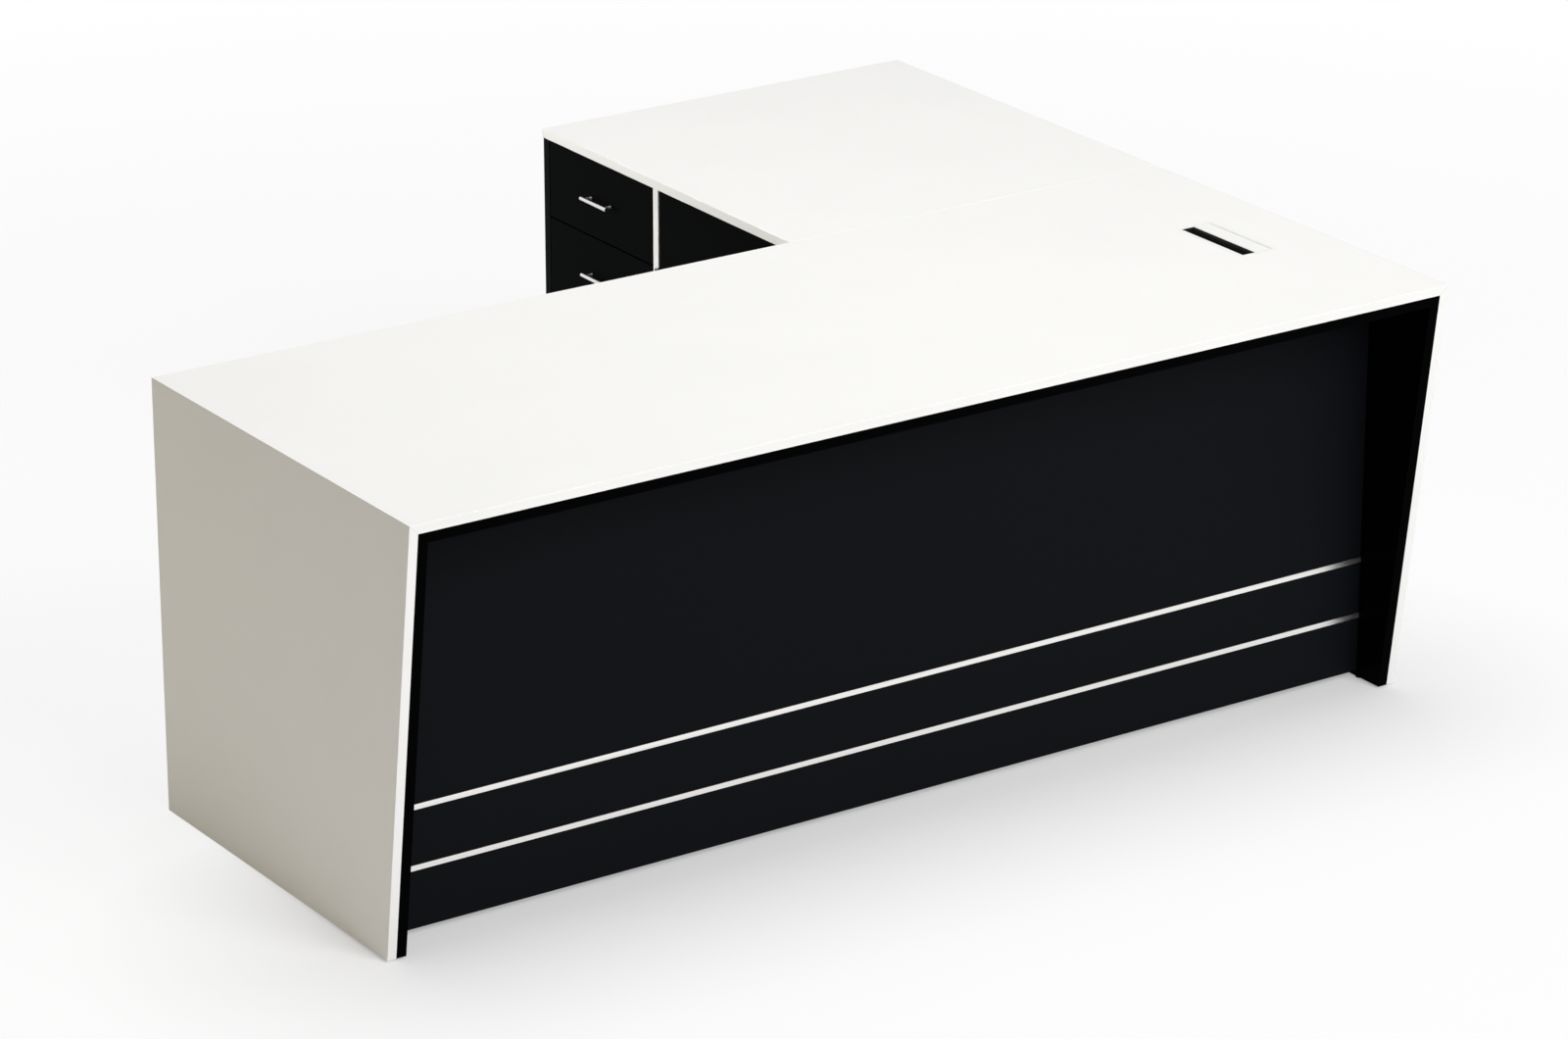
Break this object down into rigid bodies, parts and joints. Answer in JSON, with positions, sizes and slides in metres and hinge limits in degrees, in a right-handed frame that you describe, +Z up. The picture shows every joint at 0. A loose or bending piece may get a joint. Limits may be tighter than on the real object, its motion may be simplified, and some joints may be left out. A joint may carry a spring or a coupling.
{
  "type": "executive desk",
  "caption": "L-shaped executive desk: a white mitred shell lined in black with a recessed front panel, and a return with drawers and a door bay.",
  "frame": {"origin": "on the floor under the middle of the desk's overall box", "axes": "+X along the main top towards the end that has the return, +Y from the front panel towards the sitter and the return, +Z up"},
  "size_m": [2, 1.5899, 0.75],
  "materials": {
    "white_laminate": "white melamine board, satin, with matching edge band",
    "black_laminate": "black melamine board, satin",
    "drawer_board": "light grey melamine, matt",
    "drawer_base_board": "grey faced hardboard, matt",
    "trim_aluminium": "satin anodised",
    "handle_steel": "brushed stainless",
    "zinc_steel": "bright zinc plate",
    "zinc_die_cast": "cast zinc",
    "black_steel": "black powder coat",
    "white_plastic": "satin moulded plastic",
    "black_plastic": "moulded polyethylene",
    "brush_bristle": "black nylon bristle",
    "dowel_beech": "fluted beech"
  },
  "bodies": {
    "desk": {"cable_port_brush": "brush_bristle", "cable_port_frame": "white_plastic", "cam_bolts": "zinc_steel", "cam_locks": "zinc_die_cast", "door_bay_floor": "black_laminate", "dowels": "dowel_beech", "drawer_bay_floor": "black_laminate", "front_panel": "black_laminate", "glides": "black_plastic", "hinge_fixed_leaves": "black_steel", "hinge_pins": "zinc_steel", "joining_screws": "zinc_steel", "left_end_panel": "white_laminate", "left_liner": "black_laminate", "lower_trim_strip": "trim_aluminium", "main_top": "white_laminate", "return_divider": "white_laminate", "return_far_panel": "black_laminate", "return_near_panel": "black_laminate", "return_outer_panel": "white_laminate", "return_top": "white_laminate", "right_end_panel": "white_laminate", "right_liner": "black_laminate", "runner_cabinet_members": "zinc_steel", "shelf": "white_laminate", "shelf_pins": "zinc_steel", "sub_top": "black_laminate", "upper_trim_strip": "trim_aluminium"},
    "cable_lid": {"cable_port_lid": "white_plastic"},
    "door_leaf": {"door": "black_laminate", "door_handle": "handle_steel", "hinge_door_leaves": "black_steel"},
    "top_drawer": {"top_drawer_back": "drawer_board", "top_drawer_base": "drawer_base_board", "top_drawer_front": "black_laminate", "top_drawer_handle": "handle_steel", "top_drawer_runner_members": "zinc_steel", "top_drawer_sides": "drawer_board"},
    "top_drawer_runner": {"top_drawer_runner_middle_members": "zinc_steel"},
    "second_drawer": {"second_drawer_back": "drawer_board", "second_drawer_base": "drawer_base_board", "second_drawer_front": "black_laminate", "second_drawer_handle": "handle_steel", "second_drawer_runner_members": "zinc_steel", "second_drawer_sides": "drawer_board"},
    "second_drawer_runner": {"second_drawer_runner_middle_members": "zinc_steel"},
    "third_drawer": {"third_drawer_back": "drawer_board", "third_drawer_base": "drawer_base_board", "third_drawer_front": "black_laminate", "third_drawer_handle": "handle_steel", "third_drawer_runner_members": "zinc_steel", "third_drawer_sides": "drawer_board"},
    "third_drawer_runner": {"third_drawer_runner_middle_members": "zinc_steel"},
    "file_drawer": {"file_drawer_back": "drawer_board", "file_drawer_base": "drawer_base_board", "file_drawer_front": "black_laminate", "file_drawer_handle": "handle_steel", "file_drawer_runner_members": "zinc_steel", "file_drawer_sides": "drawer_board"},
    "file_drawer_runner": {"file_drawer_runner_middle_members": "zinc_steel"}
  },
  "joints": [
    {"name": "cable_lid_hinge", "type": "hinge", "parent": "desk", "child": "cable_lid", "pos_m": [0.8741, -0.396, 0.7475], "axis": [0, 1, 0], "range_deg": [0, 95]},
    {"name": "door_hinge", "type": "hinge", "parent": "desk", "child": "door_leaf", "pos_m": [0.2195, 0.4155, 0.355], "axis": [0, 0, -1], "range_deg": [0, 90]},
    {"name": "top_drawer_slide", "type": "slide", "parent": "desk", "child": "top_drawer", "axis": [-1, 0, 0], "range_m": [0, 0.55]},
    {"name": "top_drawer_runner_slide", "type": "slide", "parent": "desk", "child": "top_drawer_runner", "axis": [-1, 0, 0], "range_m": [0, 0.275]},
    {"name": "second_drawer_slide", "type": "slide", "parent": "desk", "child": "second_drawer", "axis": [-1, 0, 0], "range_m": [0, 0.55]},
    {"name": "second_drawer_runner_slide", "type": "slide", "parent": "desk", "child": "second_drawer_runner", "axis": [-1, 0, 0], "range_m": [0, 0.275]},
    {"name": "third_drawer_slide", "type": "slide", "parent": "desk", "child": "third_drawer", "axis": [-1, 0, 0], "range_m": [0, 0.55]},
    {"name": "third_drawer_runner_slide", "type": "slide", "parent": "desk", "child": "third_drawer_runner", "axis": [-1, 0, 0], "range_m": [0, 0.275]},
    {"name": "file_drawer_slide", "type": "slide", "parent": "desk", "child": "file_drawer", "axis": [-1, 0, 0], "range_m": [0, 0.55]},
    {"name": "file_drawer_runner_slide", "type": "slide", "parent": "desk", "child": "file_drawer_runner", "axis": [-1, 0, 0], "range_m": [0, 0.275]}
  ],
  "couplings": [
    {"joint": "top_drawer_runner_slide", "follows": "top_drawer_slide", "ratio": 0.5},
    {"joint": "second_drawer_runner_slide", "follows": "second_drawer_slide", "ratio": 0.5},
    {"joint": "third_drawer_runner_slide", "follows": "third_drawer_slide", "ratio": 0.5},
    {"joint": "file_drawer_runner_slide", "follows": "file_drawer_slide", "ratio": 0.5}
  ]
}
